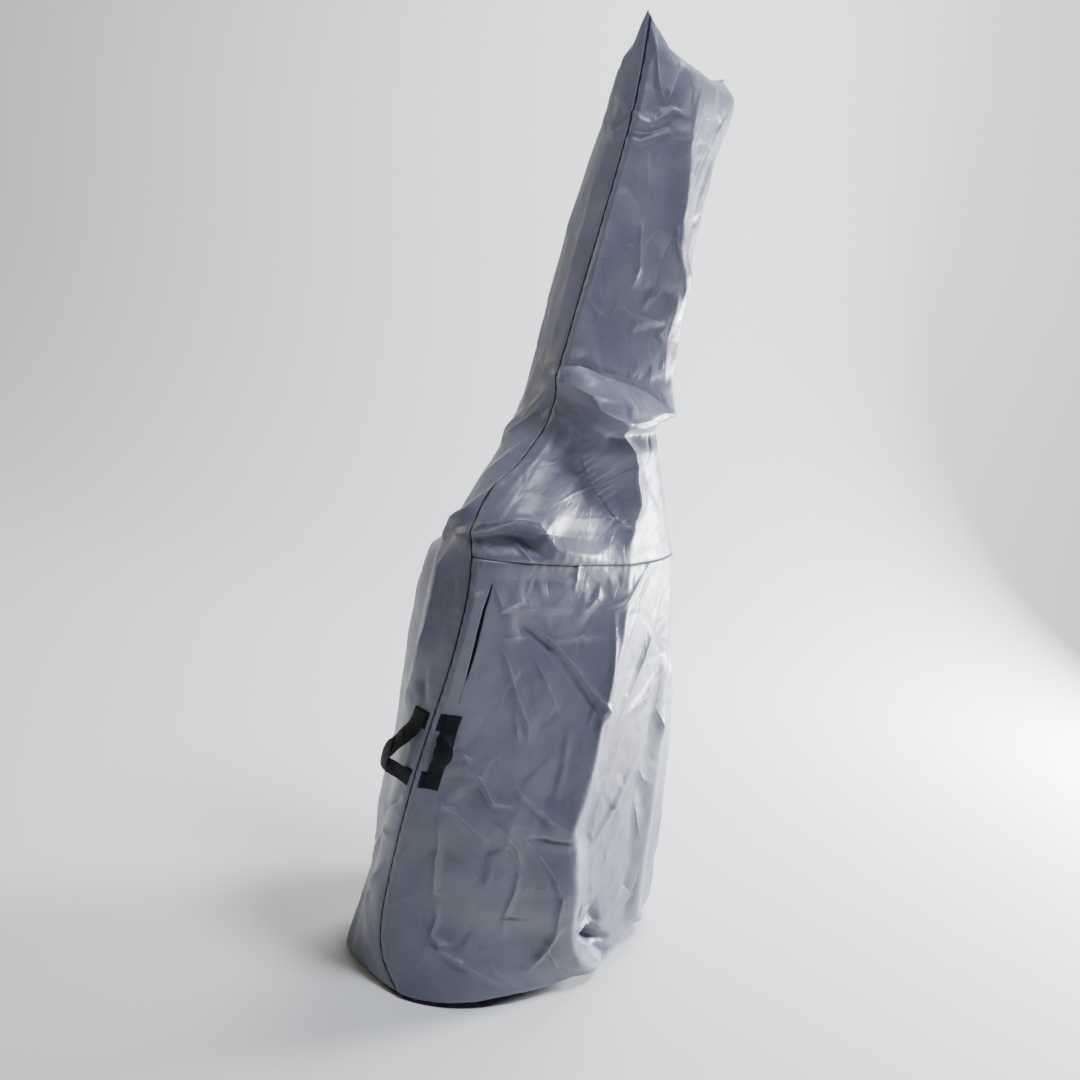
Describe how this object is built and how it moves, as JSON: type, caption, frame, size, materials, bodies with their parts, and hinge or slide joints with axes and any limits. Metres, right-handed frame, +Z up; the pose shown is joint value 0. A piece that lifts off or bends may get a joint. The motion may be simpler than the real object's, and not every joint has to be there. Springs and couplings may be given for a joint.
{
  "type": "double bass case rain cover",
  "caption": "Loose rain cover of thin coated cloth in the shape it takes over a hard double bass case, with webbing carry handles beside a side seam, a handle slit and an open hem.",
  "frame": {"origin": "inside the cover under its crown, where the head of the case holds it up", "axes": "+Z up along the case, +X across the thickness towards the panel with the cross seam and the slit, +Y across the width away from the handles"},
  "size_m": [0.5424, 0.8873, 2.1373],
  "materials": {
    "cover_cloth": "thin coated nylon taffeta, creased, with a low sheen",
    "seam_binding": "narrow dark woven binding",
    "slit_tape": "matt black woven tape",
    "webbing": "black ribbed webbing"
  },
  "bodies": {
    "root": {"left_panel": "cover_cloth", "right_upper_panel": "cover_cloth", "right_lower_panel": "cover_cloth", "near_seam_binding": "seam_binding", "far_seam_binding": "seam_binding", "slit_placket": "slit_tape", "right_handle": "webbing", "left_handle": "webbing"}
  },
  "joints": []
}
